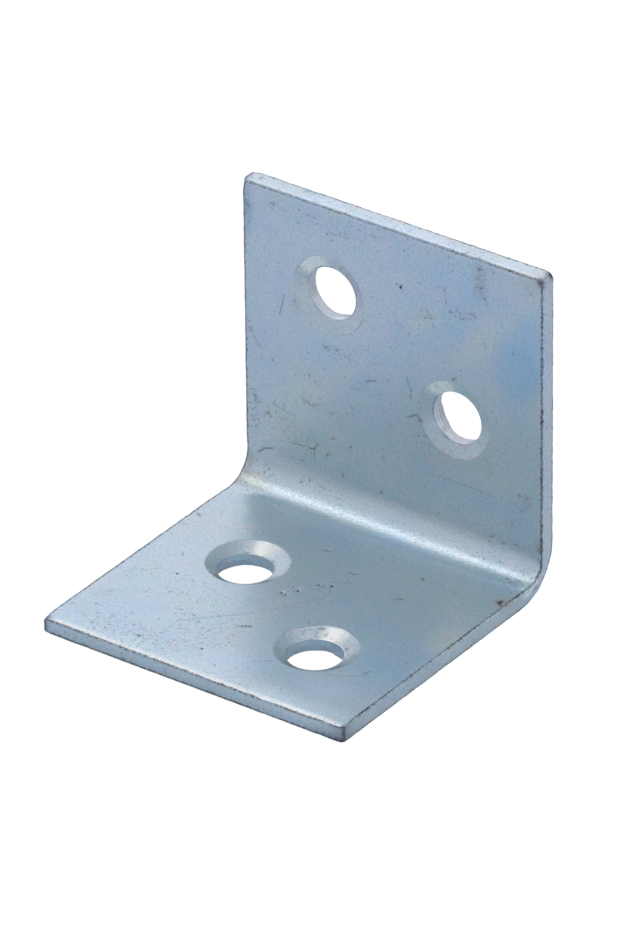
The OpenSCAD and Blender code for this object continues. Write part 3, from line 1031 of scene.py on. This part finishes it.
def relief(n, place, soot, cut, cone):
    """The height of the fine relief: grain, crazing over the fold, shear marks and turned grooves."""
    across, along, _ = n.split(place)
    strain = n.times(n.span(along, FOOT_FLAT + 1.0, FOOT_FLAT + 1.8),
                     n.span(along, FOOT_FLAT + 3.2, FOOT_FLAT + 4.6, 1.0, 0.0))
    grain = n.clouds(place, 4.2, 3.0, 0.6)
    crazing = n.clouds(n.stretched(place, (6.5, 2.4, 6.5)), 1.0, 3.0, 0.62)
    shear = n.clouds(n.stretched(place, (4.0, 4.0, 0.8)), 1.0, 2.0, 0.6)
    rings = {0: n.times(n.value("radial"), 9.0), 1: n.times(across, 1.3), 2: n.times(along, 1.3)}
    grooves = n.clouds(n.add("ShaderNodeCombineXYZ", rings).outputs[0], 1.0, 3.0, 0.6)
    height = n.times(grain, n.span(cone, 0.0, 1.0, 0.32, 0.15))
    for part in ((crazing, strain, 0.7), (shear, cut, 0.25), (grooves, cone, 0.55)):
        height = n.math("ADD", height, n.times(*part))
    return n.less(height, n.times(soot, 0.12))


def roughness(n, place, soot, pale, cone):
    """How rough the zinc is: smoother in flakes where the fold has drawn it, rougher under dirt."""
    _, along, _ = n.split(place)
    gloss = n.span(n.clouds(place, 1.6, 3.0, 0.6), 0.3, 0.7, 0.27, 0.36)
    flakes = n.span(n.clouds(place, 5.0, 2.0, 0.6), 0.35, 0.65, 0.07, 0.23)
    in_fold = n.span(n.math("ABSOLUTE", n.less(along, FOOT_FLAT + 2.3)), 1.2, 2.6, 1.0, 0.0)
    smoother = n.largest(n.times(flakes, in_fold), n.times(cone, 0.09))
    return n.math("ADD", n.less(gloss, smoother), n.times(n.largest(soot, pale), 0.3))


def zinc_material():
    """Bright zinc plating on steel sheet."""
    material = bpy.data.materials.new("bright_zinc")
    material.use_nodes = True
    n = Nodes(material.node_tree)
    place = n.vector("sheet")
    cut, cone, wear = n.value("cut"), n.value("cone"), n.value("wear")
    rust = ragged(n, place, n.value("rust"), 0.35)
    scuffs = n.clouds(n.stretched(place, (5.0, 1.5, 2.0)), 1.0, 3.0, 0.62)
    pale = n.times(n.value("pale"), n.span(scuffs, 0.34, 0.60, 0.30, 1.15), clamp=True)
    soot = n.largest(ragged(n, place, n.value("soot"), 0.70), ragged(n, place, n.value("smear"), 0.10),
                     specks(n, place, wear, cut), scribbles(n, place, wear),
                     edge_line(n, place, "inner", 0.0, 0.05, 0.25),
                     edge_line(n, place, "outer", 0.10, 0.08, 0.24))
    height = relief(n, place, soot, cut, cone)
    bump = n.add("ShaderNodeBump", {"Strength": 0.5, "Distance": 0.0001, "Height": height})
    matt = n.largest(n.times(soot, 0.92), n.times(n.largest(rust, pale), 0.7))
    shader = n.add("ShaderNodeBsdfPrincipled", {
        "Base Color": zinc_colour(n, place, soot, rust, cut, pale),
        "Metallic": n.less(1.0, matt),
        "Roughness": roughness(n, place, soot, pale, cone),
        "Specular IOR Level": n.span(soot, 0.0, 1.0, 0.5, 0.1),
        "Normal": bump.outputs[0],
    })
    n.add("ShaderNodeOutputMaterial", {"Surface": shader.outputs[0]})
    return material


# ---- the studio

VIEW_AZIMUTH = 36.07
VIEW_ELEVATION = 30.56
VIEW_ROLL = -0.62
VIEW_DISTANCE = 1.1006
VIEW_TARGET = (-1.72, 4.75, 15.34)
FOCAL_LENGTH = 391.6


def make_camera():
    """The photographer's view: from the front right, looking down on the foot."""
    azimuth, elevation, roll = (math.radians(turn) for turn in (VIEW_AZIMUTH, VIEW_ELEVATION, VIEW_ROLL))
    level = Vector((math.cos(azimuth), math.sin(azimuth), 0))
    away = Vector((math.sin(azimuth), -math.cos(azimuth), 0))
    back = away * math.cos(elevation) + Vector((0, 0, math.sin(elevation)))
    upward = back.cross(level)
    right = level * math.cos(roll) + upward * math.sin(roll)
    up = upward * math.cos(roll) - level * math.sin(roll)
    lens = bpy.data.cameras.new("camera")
    lens.lens = FOCAL_LENGTH
    lens.sensor_width = 36.0
    lens.clip_start, lens.clip_end = 0.05, 20.0
    camera = bpy.data.objects.new("camera", lens)
    camera.matrix_world = Matrix((right, up, back)).transposed().to_4x4()
    camera.matrix_world.translation = Vector(VIEW_TARGET) * MM + back * VIEW_DISTANCE
    bpy.context.scene.collection.objects.link(camera)
    bpy.context.scene.camera = camera


FLOOR_COLOUR = (0.585, 0.645, 0.714, 1)
WHITE = (1, 1, 1, 1)
WHITE_SHARE = 0.96
WHITE_STRENGTH = 1.03
FLOOR_REACH = 2.5
FLOOR_GAP = 0.05
SKY_COLOUR = (0.835, 0.840, 0.985, 1)
SKY_LOW, SKY_HIGH, SKY_BEHIND = 0.49, 0.78, 1.13
BACKWARDS = (-0.59, 0.81, 0.0)
SOFTBOX_COLOUR = (0.92, 0.88, 0.86)
SOFTBOX_PLACE = (-0.33, -0.055, 0.53)
GLOSSY_SHARE = 0.25


def seen_directly(n):
    """1 for camera and transmission rays, and a share of it for glossy ones, so that metal shows shades."""
    path = n.add("ShaderNodeLightPath").outputs
    glossy = n.times(path["Is Glossy Ray"], GLOSSY_SHARE)
    return n.largest(path["Is Camera Ray"], path["Is Transmission Ray"], glossy)


def make_floor():
    """A pale table, topped up to white where it is looked at, so that it keeps only a faint shadow."""
    data = bpy.data.meshes.new("floor")
    shape = bmesh.new()
    bmesh.ops.create_grid(shape, x_segments=8, y_segments=8, size=FLOOR_REACH)
    bmesh.ops.translate(shape, verts=shape.verts, vec=(0, 0, -FLOOR_GAP * MM))
    shape.to_mesh(data)
    shape.free()
    floor = bpy.data.objects.new("floor", data)
    bpy.context.scene.collection.objects.link(floor)
    material = bpy.data.materials.new("pale_floor")
    material.use_nodes = True
    n = Nodes(material.node_tree)
    matt = n.add("ShaderNodeBsdfDiffuse", {"Color": FLOOR_COLOUR})
    white = n.add("ShaderNodeEmission", {"Color": WHITE, "Strength": WHITE_STRENGTH})
    share = n.times(seen_directly(n), WHITE_SHARE)
    both = n.add("ShaderNodeMixShader", {0: share, 1: matt.outputs[0], 2: white.outputs[0]})
    n.add("ShaderNodeOutputMaterial", {"Surface": both.outputs[0]})
    data.materials.append(material)


def make_sky():
    """Soft light from all round: brightest behind and above, dimmer towards the front."""
    world = bpy.data.worlds.new("studio")
    world.use_nodes = True
    bpy.context.scene.world = world
    n = Nodes(world.node_tree)
    way = n.add("ShaderNodeTexCoord").outputs["Generated"]
    ways = {0: way, 1: BACKWARDS}
    behind = n.add("ShaderNodeVectorMath", ways, operation="DOT_PRODUCT").outputs["Value"]
    front = n.span(n.split(way)[2], 0.0, 0.5, SKY_LOW, SKY_HIGH, "SMOOTHSTEP")
    share = n.span(behind, -0.3, 0.6, 0.0, 1.0, "SMOOTHSTEP")
    strength = n.math("ADD", front, n.times(share, n.less(SKY_BEHIND, front)))
    light = n.add("ShaderNodeBackground", {"Color": SKY_COLOUR, "Strength": strength})
    white = n.add("ShaderNodeBackground", {"Color": WHITE, "Strength": 1.0})
    both = n.add("ShaderNodeMixShader", {0: seen_directly(n), 1: light.outputs[0], 2: white.outputs[0]})
    n.add("ShaderNodeOutputWorld", {"Surface": both.outputs[0]})


def make_softbox():
    """One large soft lamp, above and to the left."""
    lamp = bpy.data.lights.new("softbox", "AREA")
    lamp.shape = "RECTANGLE"
    lamp.size, lamp.size_y = 0.18, 0.36
    lamp.energy = 0.15
    lamp.color = SOFTBOX_COLOUR
    softbox = bpy.data.objects.new("softbox", lamp)
    softbox.location = SOFTBOX_PLACE
    softbox.rotation_euler = (-softbox.location).to_track_quat("-Z", "Y").to_euler()
    softbox.visible_camera = False
    bpy.context.scene.collection.objects.link(softbox)


make_camera()
make_sky()
make_softbox()
make_floor()

brace = make_brace()
brace.data.materials.append(zinc_material())
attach(brace, "root")
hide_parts("bracket")

bpy.context.scene.view_settings.view_transform = "Standard"
